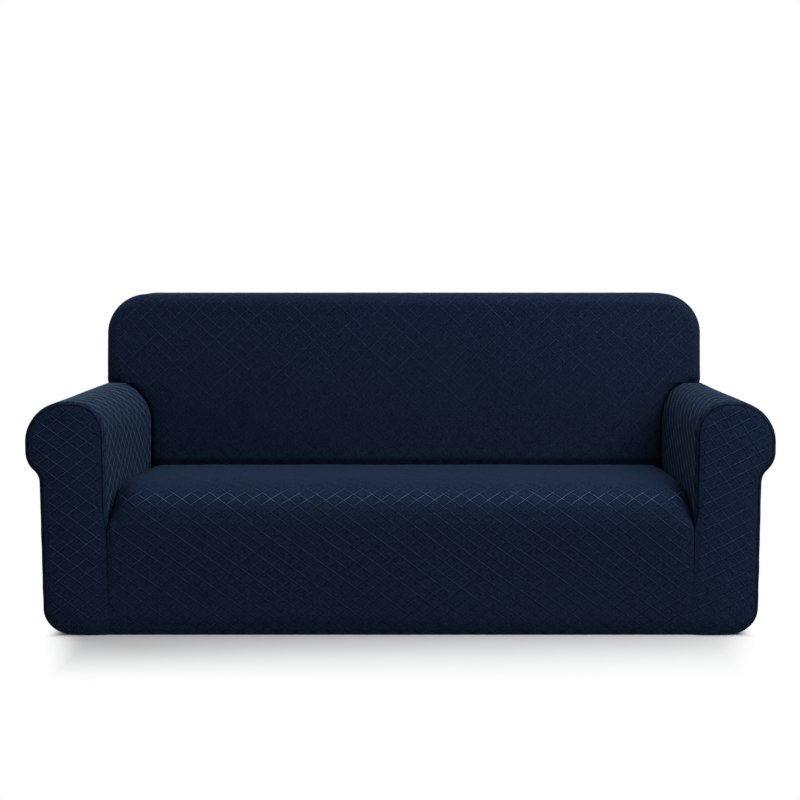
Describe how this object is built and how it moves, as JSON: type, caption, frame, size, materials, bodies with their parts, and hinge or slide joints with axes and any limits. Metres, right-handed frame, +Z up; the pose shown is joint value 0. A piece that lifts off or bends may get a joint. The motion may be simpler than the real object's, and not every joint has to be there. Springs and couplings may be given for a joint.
{
  "type": "sofa slipcover",
  "caption": "Fitted stretch slipcover in the shape of a long rolled-arm sofa: seat with front drop, wrapped back, arm covers and shaped arm facings, hollow and open underneath.",
  "frame": {"origin": "on the floor under the middle of the cover", "axes": "+X to the cover's right as seen from its front, -Y to the front of the seat, +Z up"},
  "size_m": [2.05, 0.8718, 0.9281],
  "materials": {
    "stretch_knit": "matt navy jacquard stretch knit with a fine diamond lattice"
  },
  "bodies": {
    "root": {"seat_front": "stretch_knit", "back_inside": "stretch_knit", "back_outside": "stretch_knit", "arm_left": "stretch_knit", "arm_right": "stretch_knit", "arm_front_left": "stretch_knit", "arm_front_right": "stretch_knit"}
  },
  "joints": []
}
